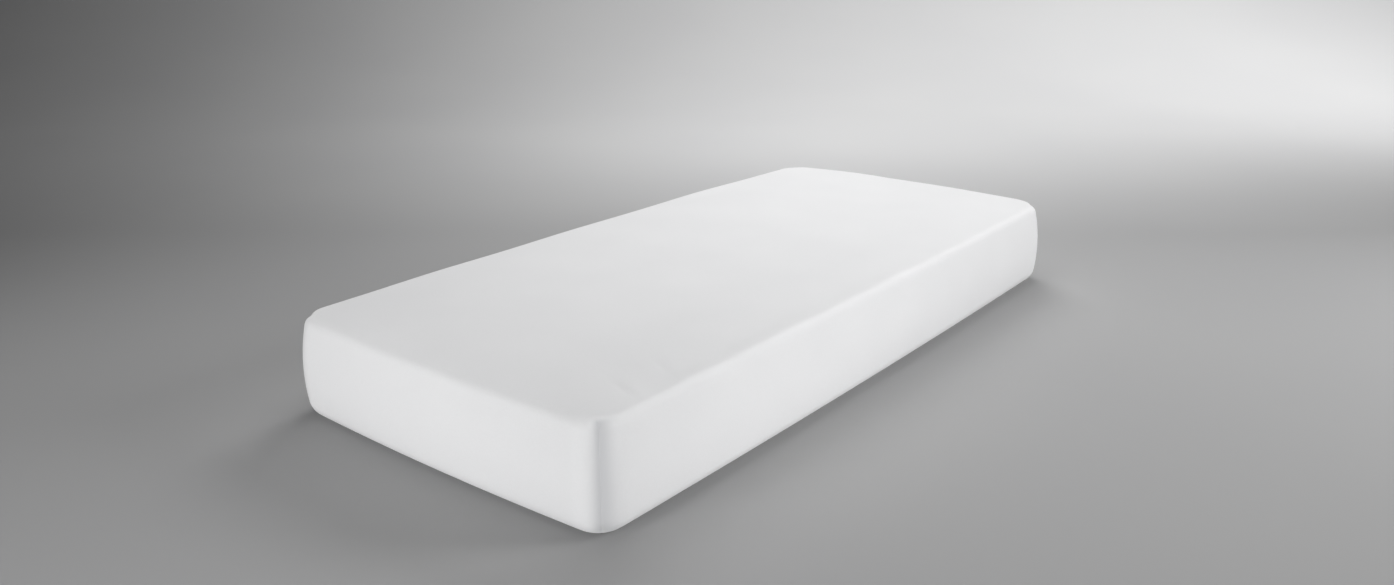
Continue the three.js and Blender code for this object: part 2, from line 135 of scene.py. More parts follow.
# Shallow dips in the sides, between the stretches that the mattress pushes out. down is the way down.
DIPS = [
    {"edge": "foot", "at": -0.255, "reach": 0.095, "down": 0.095, "height": 0.080, "depth": 0.0019},
    {"edge": "foot", "at": 0.290, "reach": 0.080, "down": 0.080, "height": 0.075, "depth": 0.0015},
    {"edge": "head", "at": -0.230, "reach": 0.110, "down": 0.090, "height": 0.080, "depth": 0.0018},
    {"edge": "head", "at": 0.250, "reach": 0.090, "down": 0.085, "height": 0.075, "depth": 0.0016},
    {"edge": "right", "at": -0.760, "reach": 0.110, "down": 0.075, "height": 0.075, "depth": 0.0023},
    {"edge": "right", "at": -0.330, "reach": 0.080, "down": 0.085, "height": 0.070, "depth": 0.0013},
    {"edge": "right", "at": 0.105, "reach": 0.095, "down": 0.080, "height": 0.075, "depth": 0.0019},
    {"edge": "right", "at": 0.480, "reach": 0.085, "down": 0.090, "height": 0.080, "depth": 0.0015},
    {"edge": "left", "at": -0.690, "reach": 0.120, "down": 0.085, "height": 0.080, "depth": 0.0020},
    {"edge": "left", "at": -0.150, "reach": 0.110, "down": 0.090, "height": 0.075, "depth": 0.0016},
    {"edge": "left", "at": 0.340, "reach": 0.100, "down": 0.080, "height": 0.080, "depth": 0.0019},
    {"edge": "left", "at": 0.740, "reach": 0.090, "down": 0.085, "height": 0.075, "depth": 0.0014},
]

# Grid lines: each row is a width counted in from an end of the top, and the step of the lines in it. The
# last row's step fills the middle. Steps are the counts on the top edge, side, lower edge and border.
CLOTH_LINES = {
    "across": [(0.004, 0.001), (0.060, 0.004), (0.200, 0.0055), (None, 0.011)],
    "foot": [(0.004, 0.001), (0.060, 0.004), (0.330, 0.006), (None, 0.013)],
    "head": [(0.004, 0.001), (0.060, 0.004), (0.200, 0.006), (None, 0.013)],
    "outer_steps": (9, 20, 10, 10),
    "inner_steps": (4, 5, 4, 3),
}
MATTRESS_LINES = {
    "across": [(0.120, 0.010), (None, 0.020)],
    "foot": [(0.120, 0.010), (None, 0.024)],
    "head": [(0.120, 0.010), (None, 0.024)],
    "steps": (6, 8, 6, 4),
}

EDGES = ("right", "left", "head", "foot")
SLOPE_STEP = 0.001  # over which the slope of the crown is measured

# Stitches: the distance from one to the next, their length, and how far the thread lies in the cloth
HEM_STITCHES = {"Pitch": 0.0042, "Stitch Length": 0.0034, "Thread Radius": 0.0003}
SEAM_STITCHES = {"Pitch": 0.0034, "Stitch Length": 0.0026, "Thread Radius": 0.00028}
STITCH_SUNK = 0.0001
SEAM_STITCH_INSET = 0.004  # from each end of the seam
HEM_POINT_SPACING = 0.004
SEAM_POINT_SPACING = 0.002

# Weave of the cloth and of the ticking, as distances from one repeat to the next
RIB_PITCH = 0.0024
CROSS_RIB_PITCH = 0.0021
NAP = 0.0032
TUFTS = 0.011
CLOUDS = 0.21
TWILL_PITCH = 0.0030
STRIPE_PITCH = 0.024
SLUBS = 0.006
FIBRES = 0.0009
BUMP_DISTANCE = 0.001
THREAD_BUMP_DISTANCE = 0.0002
TURN = 2 * math.pi

# Sockets of a Mix node that carry a colour
COLOUR_A = 6
COLOUR_B = 7
COLOUR_RESULT = 2


def mix(start, end, share):
    return start + (end - start) * share


def ease(share):
    t = np.clip(share, 0, 1)
    return t * t * (3 - 2 * t)


def hump(distance, reach):
    return np.exp(-((distance / reach) ** 2))


class Skin:
    """A soft box: an arc over the top edge, a bowed side, an arc at the floor, and the flat underneath."""

    def __init__(self, half_x, half_y, floor, top, top_edge, lower_edge, rounder):
        self.half_x = half_x
        self.half_y = half_y
        self.floor = floor
        self.top = top
        self.rounder = rounder
        rise = top - WIDEST_HEIGHT
        side = (rise**2 + BOW**2) / (2 * BOW)

        def joint(radius, above_widest):
            reach = math.sqrt((side - radius) ** 2 - above_widest**2)
            return reach - side, math.atan2(above_widest, reach)

        upper_centre, upper_angle = joint(top_edge, rise - top_edge)
        lower_centre, lower_angle = joint(lower_edge, floor + lower_edge - WIDEST_HEIGHT)
        # centre, height, radius, and the angles of the outward normal above the horizontal at start and end
        self.arcs = [
            (upper_centre, top - top_edge, top_edge, math.pi / 2, upper_angle),
            (-side, WIDEST_HEIGHT, side, upper_angle, lower_angle),
            (lower_centre, floor + lower_edge, lower_edge, lower_angle, -math.pi / 2),
        ]
        self.arc_lengths = [radius * (start - end) for _, _, radius, start, end in self.arcs]
        self.down = sum(self.arc_lengths)
        self.rim_x = half_x + upper_centre
        self.rim_y = half_y + upper_centre
        self.rim_out = upper_centre

    def rounded(self, height, a, b):
        """The corner radius at a height, for the corner that the flat place lies nearest."""
        share = (self.top - height) / (self.top - self.floor)
        to_right = ease(0.5 + a / CORNER_BLEND_X / 2)
        to_head = ease(0.5 + b / CORNER_BLEND_Y / 2)
        ends = []
        for row in (CORNER_RADII["foot"], CORNER_RADII["head"]):
            left, right = (mix(*row[side], share) for side in ("left", "right"))
            ends.append(mix(left, right, to_right))
        return mix(*ends, to_head) + self.rounder

    def level_line(self, over, a, b):
        """The level lines at ways past the edge of the top: half sizes, corner radii, height and normal."""
        left = np.clip(over, 0, self.down + TUCK)
        out, height, angle = np.zeros_like(left), np.zeros_like(left), np.zeros_like(left)
        start_of_arc = 0.0
        for (centre, middle, radius, start, _), length in zip(self.arcs, self.arc_lengths):
            here = left >= start_of_arc
            turned = start - (left - start_of_arc) / radius
            out = np.where(here, centre + radius * np.cos(turned), out)
            height = np.where(here, middle + radius * np.sin(turned), height)
            angle = np.where(here, turned, angle)
            start_of_arc += length
        under = left > self.down
        tucked = left - self.down
        lowest_centre = self.arcs[2][0]
        out = np.where(under, lowest_centre - tucked, out)
        height = np.where(under, self.floor, height)
        angle = np.where(under, -math.pi / 2, angle)
        corner = np.where(
            under,
            mix(self.rounded(height, a, b) + lowest_centre, HEM_CORNER_RADIUS, tucked / TUCK),
            self.rounded(height, a, b) + out,
        )
        return {
            "half_x": self.half_x + out,
            "half_y": self.half_y + out,
            "corner": corner,
            "rim_corner": self.rounded(self.top, a, b) + self.rim_out,
            "height": height,
            "outward": np.cos(angle),
            "upward": np.sin(angle),
        }

    def crown(self, x, y):
        def share(inset, reach):
            return 1 - (1 - np.clip(inset / reach, 0, 1)) ** 2

        from_ends = share(self.rim_y - y, CROWN_REACH) * share(self.rim_y + y, FOOT_CROWN_REACH)
        return CROWN * share(self.rim_x - np.abs(x), CROWN_REACH) * from_ends

    def on_level_line(self, a, b, ring):
        """Where flat places lie on their level lines, and the way outwards there."""
        line_x = fit_line(np.clip(a, -self.rim_x, self.rim_x), self.rim_x, ring["half_x"], ring)
        line_y = fit_line(np.clip(b, -self.rim_y, self.rim_y), self.rim_y, ring["half_y"], ring)
        return rounded_place(line_x, line_y, ring["half_x"], ring["half_y"], ring["corner"])

    def place(self, a, b):
        """Points of the skin and their outward normals. On the top a and b are x and y, and past the edge
        of the top they count the way down the side and under, as on the flat cloth."""
        over = np.maximum(np.maximum(np.abs(a) - self.rim_x, np.abs(b) - self.rim_y), 0)
        ring = self.level_line(over, a, b)
        x, y, out_x, out_y = self.on_level_line(a, b, ring)
        step = SLOPE_STEP
        slope_x = (self.crown(x + step, y) - self.crown(x - step, y)) / (2 * step)
        slope_y = (self.crown(x, y + step) - self.crown(x, y - step)) / (2 * step)
        on_top = over <= 0
        normals = np.stack(
            [
                np.where(on_top, -slope_x, out_x * ring["outward"]),
                np.where(on_top, -slope_y, out_y * ring["outward"]),
                np.where(on_top, 1.0, ring["upward"]),
            ],
            axis=-1,
        )
        normals /= np.linalg.norm(normals, axis=-1, keepdims=True)
        height = ring["height"] + np.where(on_top, self.crown(x, y), 0)
        return bent(x, y, height), normals

    def near_edge(self, a, b):
        """Where points lie against the nearest edge of the top: which edge, along it, past it (negative on
        the top) and in from that edge's nearer end."""
        past_x = np.abs(a) - self.rim_x
        past_y = np.abs(b) - self.rim_y
        long_side = past_x > past_y
        along = np.where(long_side, b, a)
        return {
            "edge": np.where(long_side, np.where(a > 0, 0, 1), np.where(b > 0, 2, 3)),
            "along": along,
            "past": np.maximum(past_x, past_y),
            "end": np.where(long_side, self.rim_y, self.rim_x) - np.abs(along),
        }


def fit_line(value, rim_half, half, ring):
    """Moves a coordinate of the top onto a wider or narrower level line, straight to straight and corner to
    corner."""
    corner, rim_corner = ring["corner"], ring["rim_corner"]
    inset = rim_half - np.abs(value)
    in_corner = half - inset * corner / rim_corner
    on_straight = np.abs(value) * (half - corner) / (rim_half - rim_corner)
    return np.sign(value) * np.where(inset < rim_corner, in_corner, on_straight)


def rounded_place(x, y, half_x, half_y, corner):
    """Rounds the corners of a rectangle and of every line inside it. Also gives the way outwards."""
    inset_x = half_x - np.abs(x)
    inset_y = half_y - np.abs(y)
    inset = np.minimum(inset_x, inset_y)
    along = np.maximum(inset_x, inset_y)
    near_x = inset_x < inset_y
    straight = along >= corner
    radius = np.where(straight, 1.0, corner - inset)
    turn = math.pi / 4 * (1 - (along - inset) / radius)
    wide, narrow = np.cos(turn), np.sin(turn)
    out_x = np.sign(x) * np.where(straight, near_x, np.where(near_x, wide, narrow))
    out_y = np.sign(y) * np.where(straight, ~near_x, np.where(near_x, narrow, wide))
    round_x = np.sign(x) * (half_x - corner) + radius * out_x
    round_y = np.sign(y) * (half_y - corner) + radius * out_y
    return np.where(straight, x, round_x), np.where(straight, y, round_y), out_x, out_y


def bent(x, y, z):
    """Bends the even box: each side swells out in its middle, and the corners of the top drop."""
    share_x = 2 * x / WIDTH
    share_y = 2 * y / LENGTH
    share_z = z / EDGE_HEIGHT
    foot, head = (np.where(x < 0, row["left"], row["right"]) for row in CORNER_DROPS.values())
    drop = np.where(y < 0, foot, head)
    return np.stack(
        [
            x * (1 - 2 * LONG_SIDE_SWELL / WIDTH * share_y**2),
            y * (1 - 2 * END_SWELL / LENGTH * share_x**2),
            z - drop * (share_x * share_y * share_z) ** 2,
        ],
        axis=-1,
    )


def fold_relief(fold, a, b):
    start_x, start_y = fold["start"]
    end_x, end_y = fold["end"]
    run_x = end_x - start_x
    run_y = end_y - start_y
    length = math.hypot(run_x, run_y)
    off_x = a - start_x
    off_y = b - start_y
    share = (off_x * run_x + off_y * run_y) / length**2
    aside = (off_x * run_y - off_y * run_x) / length / fold["half_width"]
    taper = np.sin(math.pi * np.clip(share, 0, 1)) ** 2
    return fold["height"] * taper * (hump(aside, MOUND_WIDTH) - hump(aside, 1))


def lip_relief(lip, near):
    past = near["past"]
    across = np.where(past < 0, 1 + past / lip["inside"], 1 - past / lip["outside"])
    here = near["edge"] == EDGES.index(lip["edge"])
    return here * lip["rise"] * hump(near["along"] - lip["at"], lip["reach"]) * ease(across)


def dip_relief(dip, near):
    here = (near["edge"] == EDGES.index(dip["edge"])) & (near["past"] > 0)
    level = ease(1 - np.abs(near["past"] - dip["down"]) / dip["height"])
    return here * -dip["depth"] * hump(near["along"] - dip["at"], dip["reach"]) * level


def seam_share(near):
    """How far a point lies into the trough of the corner seam: 1 on the sewn line, 0 outside."""
    spread = SEAM_SPREAD * np.clip(near["past"] / SEAM_END, 0, 1)
    on_long_side = near["edge"] < EDGES.index("head")
    half_width = np.where(on_long_side, SEAM_WIDTH_ON_SIDE, SEAM_WIDTH_ON_END) + spread
    ends = ease(near["past"] / SEAM_START) * ease((SEAM_END - near["past"]) / SEAM_RUN_OUT)
    return ends * hump(near["end"], half_width)


def seam_relief(near):
    depth = SEAM_DEPTH * mix(1, SEAM_FOOT_SHARE, ease(near["past"] / SEAM_END))
    sewn = SEWN_LINE_DEPTH * ease(near["past"] / SEAM_START) * hump(near["end"], SEWN_LINE_HALF_WIDTH)
    return -depth * seam_share(near) - sewn


def hem_relief(skin, near):
    to_line = near["past"] - (skin.down + TUCK - HEM_WIDTH)
    return HEM_CHANNEL_DEPTH * -hump(to_line, HEM_CHANNEL_HALF_WIDTH)


def cloth_relief(skin, a, b):
    """How far the cloth stands off its even shape."""
    near = skin.near_edge(a, b)
    at_edges = sum(lip_relief(lip, near) for lip in LIPS) + sum(dip_relief(dip, near) for dip in DIPS)
    away_from_seam = ease((near["end"] - np.abs(np.minimum(near["past"], 0))) / EVEN_CORNER)
    folds = sum(fold_relief(fold, a, b) for fold in FOLDS)
    return folds + away_from_seam * at_edges + seam_relief(near) + hem_relief(skin, near)


def lines_from(half, start_rows, end_rows):
    """Grid lines from -half to half, spaced as the rows say from each end."""

    def insets(rows):
        marks = [0.0]
        for width, step in rows[:-1]:
            count = max(1, round((width - marks[-1]) / step))
            marks += list(np.linspace(marks[-1], width, count + 1)[1:])
        return marks

    low, high = insets(start_rows), insets(end_rows)
    start, end = -half + low[-1], half - high[-1]
    count = round((end - start) / start_rows[-1][1])
    middle = np.linspace(start, end, count + 1)[1:-1]
    lines = [-half + mark for mark in low] + list(middle) + [half - mark for mark in reversed(high)]
    return np.array(lines)


def ways_down(skin, counts):
    """Ways past the edge of the top at which the side's level lines run."""
    marks = [0.0]
    for length, count in zip([*skin.arc_lengths, TUCK], counts):
        marks += list(np.linspace(marks[-1], marks[-1] + length, count + 1)[1:])
    return np.array(marks[1:])


def rim_of(xs, ys):
    """The index pairs that run once round the rim of the grid, anticlockwise from above."""
    last_x, last_y = len(xs) - 1, len(ys) - 1
    order = [(i, 0) for i in range(last_x)] + [(last_x, j) for j in range(last_y)]
    order += [(i, last_y) for i in range(last_x, 0, -1)] + [(0, j) for j in range(last_y, 0, -1)]
    return np.array(order)


def grid_quads(index):
    quads = [index[:-1, :-1], index[1:, :-1], index[1:, 1:], index[:-1, 1:]]
    return np.stack(quads, axis=-1).reshape(-1, 4)


def skin_face(skin, xs, ys, ways):
    """One face of the skin: the flat places of its vertices, its quads, the flat place of each corner of a
    quad, and the last ring of vertices."""
    a, b = np.meshgrid(xs, ys, indexing="ij")
    index = np.arange(a.size).reshape(a.shape)
    flat = [np.stack([a.ravel(), b.ravel()], axis=-1)]
    quads = [grid_quads(index)]
    corners = [flat[0][quads[0]]]
    rim = rim_of(xs, ys)
    rim_index = index[rim[:, 0], rim[:, 1]]
    rim_flat = flat[0][rim_index]
    on_end = np.abs(rim_flat[:, 1]) == skin.rim_y
    own_way = np.where(on_end[:, None], [0, 1], [1, 0]) * np.sign(rim_flat)
    next_flat = np.roll(rim_flat, -1, axis=0)
    along_end = (rim_flat[:, 1] == next_flat[:, 1])[:, None]
    band_way = np.where(along_end, [0, 1], [1, 0]) * np.sign(rim_flat + next_flat)
    above, above_way = rim_index, 0.0
    for way in ways:
        below = np.arange(len(rim)) + sum(len(part) for part in flat)
        flat.append(rim_flat + own_way * way)
        quads.append(np.stack([above, below, np.roll(below, -1), np.roll(above, -1)], axis=-1))
        pairs = ((rim_flat, above_way), (rim_flat, way), (next_flat, way), (next_flat, above_way))
        corners.append(np.stack([place + band_way * depth for place, depth in pairs], axis=1))
        above, above_way = below, way
    return np.concatenate(flat), np.concatenate(quads), np.concatenate(corners), above


def mesh_of(name, points, quads, corners, marks=None):
    """A smooth mesh object with a UV map of the flat cloth, in metres, and named values on its points."""
    mesh = bpy.data.meshes.new(name)
    mesh.from_pydata(points.tolist(), [], quads.tolist())
    layer = mesh.uv_layers.new(name="flat_cloth")
    layer.data.foreach_set("uv", corners.astype(np.float32).ravel())
    for mark, values in (marks or {}).items():
        attribute = mesh.attributes.new(mark, "FLOAT", "POINT")
        attribute.data.foreach_set("value", values.astype(np.float32))
    mesh.shade_smooth()
    mesh.validate()
    made = bpy.data.objects.new(name, mesh)
    bpy.context.scene.collection.objects.link(made)
    return made


def protector_cloth():
    """The cloth as one closed sheet: its outer face, its inner face turned round, and the hem's edge."""
    skin = Skin(**CLOTH_SKIN)
    xs = lines_from(skin.rim_x, CLOTH_LINES["across"], CLOTH_LINES["across"])
    ys = lines_from(skin.rim_y, CLOTH_LINES["foot"], CLOTH_LINES["head"])
    points, quads, corners, loops, painted_seam_shades = [], [], [], [], []
    for steps, thickness in ((CLOTH_LINES["outer_steps"], 0.0), (CLOTH_LINES["inner_steps"], CLOTH)):
        flat, face_quads, face_corners, last = skin_face(skin, xs, ys, ways_down(skin, steps))
        a, b = flat[:, 0], flat[:, 1]
        place, normals = skin.place(a, b)
        relief = cloth_relief(skin, a, b) - thickness
        first = sum(len(part) for part in points)
        near = skin.near_edge(a, b)
        points.append(place + normals * relief[:, None])
        # painted shade for the trough of each corner seam, a little narrower than the trough
        painted_seam_shades.append(seam_share(near) ** SEAM_SHADE_POWER)
        loops.append(last + first)
        if thickness:
            face_quads, face_corners = face_quads[:, ::-1], face_corners[:, ::-1]
        quads.append(face_quads + first)
        corners.append(face_corners)
    outer, inner = loops
    quads.append(np.stack([outer, inner, np.roll(inner, -1), np.roll(outer, -1)], axis=-1))
    corners.append(corners[0][-len(outer) :])
    # the painted shade of the corner seams, kept on the points for the cloth's colour
    marks = {"seam": np.concatenate(painted_seam_shades)}
    parts = (np.concatenate(part) for part in (points, quads, corners))
    return mesh_of("protector_cloth", *parts, marks)


def mattress_pad():
    """The mattress: the same kind of skin, closed by a flat plate underneath."""
    skin = Skin(**MATTRESS_SKIN)
    xs = lines_from(skin.rim_x, MATTRESS_LINES["across"], MATTRESS_LINES["across"])
    ys = lines_from(skin.rim_y, MATTRESS_LINES["foot"], MATTRESS_LINES["head"])
    flat, quads, corners, last = skin_face(skin, xs, ys, ways_down(skin, MATTRESS_LINES["steps"]))
    points, _ = skin.place(flat[:, 0], flat[:, 1])
    a, b = np.meshgrid(xs, ys, indexing="ij")
    hem = skin.level_line(np.full(a.shape, skin.down + TUCK), a, b)
    x, y, _, _ = skin.on_level_line(a, b, hem)
    index = np.full(a.shape, -1)
    rim = rim_of(xs, ys)
    index[rim[:, 0], rim[:, 1]] = last
    inside = index < 0
    index[inside] = len(points) + np.arange(inside.sum())
    plate = bent(x, y, np.full(a.shape, skin.floor))[inside]
    plate_quads = grid_quads(index)[:, ::-1]
    plate_corners = np.stack([grid_quads(a_or_b) for a_or_b in (x, y)], axis=-1)[:, ::-1]
    every_quad = np.concatenate([quads, plate_quads])
    every_corner = np.concatenate([corners, plate_corners])
    return mesh_of("mattress_pad", np.concatenate([points, plate]), every_quad, every_corner)


class Value:
    """A node's output, with arithmetic that adds Math nodes."""

    def __init__(self, nodes, socket):
        self.nodes = nodes
        self.socket = socket

    def maths(self, operation, *values):
        inputs = dict(enumerate(values))
        return self.nodes.add("ShaderNodeMath", {"operation": operation}, inputs)

    def __add__(self, other):
        return self.maths("ADD", self, other)

    def __radd__(self, other):
        return self.maths("ADD", other, self)

    def __mul__(self, other):
        return self.maths("MULTIPLY", self, other)

    def __rmul__(self, other):
        return self.maths("MULTIPLY", other, self)

    def sine(self):
        return self.maths("SINE", self)

    def output(self, name):
        return Value(self.nodes, self.socket.node.outputs[name])


class Nodes:
    """A node tree that grows by one method."""

    def __init__(self, tree):
        self.tree = tree

    def add(self, kind, settings=None, inputs=None):
        node = self.tree.nodes.new(kind)
        for name, value in (settings or {}).items():
            setattr(node, name, value)
        for key, value in (inputs or {}).items():
            if isinstance(value, Value):
                self.tree.links.new(value.socket, node.inputs[key])
            else:
                node.inputs[key].default_value = value
        return Value(self, node.outputs[0]) if node.outputs else node


def new_finish(name):
    material = bpy.data.materials.new(name)
    material.use_nodes = True
    material.node_tree.nodes.clear()
    return material, Nodes(material.node_tree)


def close_finish(nodes, constants, varying):
    surface = nodes.add("ShaderNodeBsdfPrincipled", None, {**constants, **varying})
    nodes.add("ShaderNodeOutputMaterial", None, {"Surface": surface})


def noise(nodes, place, feature, detail=2.0, roughness=0.5):
    """Smooth noise from 0 to 1 whose bumps are about `feature` metres apart."""
    values = {"Vector": place, "Scale": 1 / feature, "Detail": detail, "Roughness": roughness}
    return nodes.add("ShaderNodeTexNoise", {"noise_dimensions": "3D"}, values)


def two_tones(nodes, share, low, high):
    """A colour between two, each given as three numbers or as another node's colour."""
    first, second = (tone if isinstance(tone, Value) else (*tone, 1.0) for tone in (low, high))
    values = {"Factor": share, COLOUR_A: first, COLOUR_B: second}
    mixed = nodes.add("ShaderNodeMix", {"data_type": "RGBA"}, values)
    return Value(nodes, mixed.socket.node.outputs[COLOUR_RESULT])


def wave(place, pitch):
    """A sine from -1 to 1 that repeats at a pitch in metres."""
    return (place * (TURN / pitch)).sine()


def bumps(nodes, height, strength, distance):
    values = {"Strength": strength, "Distance": distance, "Height": height}
    return nodes.add("ShaderNodeBump", None, values)


def flat_place(nodes):
    """The place on the flat cloth, across and along, in metres."""
    flat = nodes.add("ShaderNodeUVMap", {"uv_map": "flat_cloth"})
    split = nodes.add("ShaderNodeSeparateXYZ", None, {"Vector": flat})
    return split.output("X"), split.output("Y")


def brushed_cotton():
    """White cloth with a fine rib, a brushed nap, and a little painted shade that darkens the trough of
    each corner seam.
    """
    material, nodes = new_finish("brushed white cotton")
    across, along = flat_place(nodes)
    rib = wave(across, RIB_PITCH) * 0.5
    cross_rib = wave(along, CROSS_RIB_PITCH) * 0.35
    place = nodes.add("ShaderNodeTexCoord").output("Object")
    nap = noise(nodes, place, NAP, detail=3.0, roughness=0.6)
    tufts = noise(nodes, place, TUFTS)
    height = (rib + cross_rib) * 0.05 + nap * 0.16 + tufts * 0.10
    bump = bumps(nodes, height, 0.9, BUMP_DISTANCE)
    cloud = noise(nodes, place, CLOUDS, detail=1.0)
    # painted shade: the colour darkens towards grey in the trough of each corner seam
    seam = nodes.add("ShaderNodeAttribute", {"attribute_name": "seam"}).output("Fac")
    white = two_tones(nodes, cloud * 0.5 + nap * 0.5, (0.80, 0.802, 0.812), (0.90, 0.90, 0.905))
    colour = two_tones(nodes, seam * 0.85, white, (0.60, 0.605, 0.62))
    roughness = 0.86 + nap * 0.10
    constants = {"Sheen Weight": 0.18, "Sheen Roughness": 0.45, "Specular IOR Level": 0.25}
    close_finish(nodes, constants, {"Base Color": colour, "Roughness": roughness, "Normal": bump})
    return material


def woven_ticking():
    """Off-white mattress ticking: a fine twill with a faint stripe in its length."""
    material, nodes = new_finish("woven ticking")
    across, along = flat_place(nodes)
    twill = wave(across + along, TWILL_PITCH)
    stripe = wave(across, STRIPE_PITCH) * 0.5 + 0.5
    place = nodes.add("ShaderNodeTexCoord").output("Object")
    slub = noise(nodes, place, SLUBS)
    height = twill * 0.06 + slub * 0.12
    bump = bumps(nodes, height, 0.9, BUMP_DISTANCE)
    colour = two_tones(nodes, stripe * 0.6 + slub * 0.4, (0.72, 0.71, 0.68), (0.84, 0.83, 0.80))
    roughness = 0.84 + slub * 0.10
    constants = {"Sheen Weight": 0.1, "Specular IOR Level": 0.3}
    close_finish(nodes, constants, {"Base Color": colour, "Roughness": roughness, "Normal": bump})
    return material


def sewing_thread():
    """White polyester thread with a fibrous surface."""
    material, nodes = new_finish("sewing thread")
    place = nodes.add("ShaderNodeTexCoord").output("Object")
    fibre = noise(nodes, place, FIBRES)
    bump = bumps(nodes, fibre, 0.8, THREAD_BUMP_DISTANCE)
    colour = two_tones(nodes, fibre, (0.74, 0.74, 0.75), (0.90, 0.90, 0.90))
    roughness = 0.5 + fibre * 0.2
    constants = {"Sheen Weight": 0.1}
    close_finish(nodes, constants, {"Base Color": colour, "Roughness": roughness, "Normal": bump})
    return material


def stitch_tree(thread):
    """Geometry nodes that lay stitches end to end along a line."""
    tree = bpy.data.node_groups.new("stitches on a line", "GeometryNodeTree")
    face = tree.interface
    face.new_socket("Geometry", in_out="INPUT", socket_type="NodeSocketGeometry")
    identifiers = {
        name: face.new_socket(name, in_out="INPUT", socket_type="NodeSocketFloat").identifier
        for name in ("Pitch", "Stitch Length", "Thread Radius")
    }
    face.new_socket("Geometry", in_out="OUTPUT", socket_type="NodeSocketGeometry")
    nodes = Nodes(tree)
    given = nodes.add("NodeGroupInput")
    curve = nodes.add("GeometryNodeMeshToCurve", None, {"Mesh": given})
    spaced = {"Curve": curve, "Length": given.output("Pitch")}
    points = nodes.add("GeometryNodeCurveToPoints", {"mode": "LENGTH"}, spaced)
    ball = nodes.add("GeometryNodeMeshUVSphere", None, {"Segments": 6, "Rings": 4, "Radius": 1.0})
    radius = given.output("Thread Radius")
    half_length = given.output("Stitch Length") * 0.5
    size = nodes.add("ShaderNodeCombineXYZ", None, {"X": radius, "Y": radius, "Z": half_length})
    placed = nodes.add(
        "GeometryNodeInstanceOnPoints",
        None,
        {"Points": points, "Instance": ball, "Rotation": points.output("Rotation"), "Scale": size},
    )
    real = nodes.add("GeometryNodeRealizeInstances", None, {"Geometry": placed})
    smooth = nodes.add("GeometryNodeSetShadeSmooth", None, {"Geometry": real})
    finished = nodes.add("GeometryNodeSetMaterial", None, {"Geometry": smooth, "Material": thread})
    nodes.add("NodeGroupOutput", None, {"Geometry": finished})
    return tree, identifiers


def stitches(name, lines, tree, identifiers, sizes):
    """Stitches along the lines, as one plain mesh. A line is its points and whether it closes on itself."""
    vertices, edges = [], []
    for points, closed in lines:
        first = len(vertices)
        vertices += points.tolist()
        edges += [(first + k, first + k + 1) for k in range(len(points) - 1)]
        if closed:
            edges.append((len(vertices) - 1, first))
    mesh = bpy.data.meshes.new(name + "_line")
    mesh.from_pydata(vertices, edges, [])
    line = bpy.data.objects.new(name + "_line", mesh)
    bpy.context.scene.collection.objects.link(line)
    modifier = line.modifiers.new("stitches", "NODES")
    modifier.node_group = tree
    for key, value in sizes.items():
        modifier[identifiers[key]] = value
    graph = bpy.context.evaluated_depsgraph_get()
    made = bpy.data.objects.new(name, bpy.data.meshes.new_from_object(line.evaluated_get(graph)))
    bpy.context.scene.collection.objects.link(made)
    line.modifiers.clear()
    bpy.data.objects.remove(line)
    return made


def line_on_cloth(a, b):
    """Points on the outer face of the cloth, sunk a little into it."""
    skin = Skin(**CLOTH_SKIN)
    place, normals = skin.place(a, b)
    return place + normals * (cloth_relief(skin, a, b) - STITCH_SUNK)[:, None]


def hem_line():
    """Flat places along the hem's line of stitches, once round."""
    skin = Skin(**CLOTH_SKIN)
    way = skin.down + TUCK - HEM_WIDTH
    xs = np.linspace(-skin.rim_x, skin.rim_x, round(2 * skin.rim_x / HEM_POINT_SPACING))
    ys = np.linspace(-skin.rim_y, skin.rim_y, round(2 * skin.rim_y / HEM_POINT_SPACING))
    rim = rim_of(xs, ys)
    x, y = xs[rim[:, 0]], ys[rim[:, 1]]
    on_end = np.abs(y) == skin.rim_y
    return np.where(on_end, x, x + np.sign(x) * way), np.where(on_end, y + np.sign(y) * way, y)


def seam_lines():
    """Flat places down the four corner seams."""
    skin = Skin(**CLOTH_SKIN)
    lowest = skin.down + TUCK - HEM_WIDTH - SEAM_STITCH_INSET
    ways = np.arange(SEAM_STITCH_INSET, lowest, SEAM_POINT_SPACING)
    for side_x in (1, -1):
        for side_y in (1, -1):
            yield np.full_like(ways, side_x * skin.rim_x), side_y * (skin.rim_y + ways)


def area_light(name, place, aim, width, height, power, spread):
    """A soft lamp aimed at a place. Power is in watts and spread in degrees."""
    data = bpy.data.lights.new(name, "AREA")
    data.shape = "RECTANGLE"
    data.size = width
    data.size_y = height
    data.energy = power
    data.spread = math.radians(spread)
    light = bpy.data.objects.new(name, data)
    light.location = place
    light.rotation_mode = "QUATERNION"
    light.rotation_quaternion = (Vector(aim) - Vector(place)).to_track_quat("-Z", "Y")
    bpy.context.scene.collection.objects.link(light)


# The camera, from a fit of the built cloth to the photograph's outline
IMAGE_WIDTH = 1394
FOCAL_LENGTH_IN_PIXELS = 1123.4
SENSOR = 36.0
CAMERA_PLACE = (1.5593, -2.1136, 1.0053)
CAMERA_AZIMUTH = math.radians(38.113)
CAMERA_ELEVATION = math.radians(18.812)

camera = bpy.data.objects.new("camera", bpy.data.cameras.new("camera"))
camera.data.sensor_width = SENSOR
camera.data.lens = FOCAL_LENGTH_IN_PIXELS / IMAGE_WIDTH * SENSOR
camera.location = CAMERA_PLACE
back = Vector(
    (
        math.sin(CAMERA_AZIMUTH) * math.cos(CAMERA_ELEVATION),
        -math.cos(CAMERA_AZIMUTH) * math.cos(CAMERA_ELEVATION),
        math.sin(CAMERA_ELEVATION),
    )
)
camera.rotation_mode = "QUATERNION"
camera.rotation_quaternion = (-back).to_track_quat("-Z", "Y")
bpy.context.scene.collection.objects.link(camera)
bpy.context.scene.camera = camera

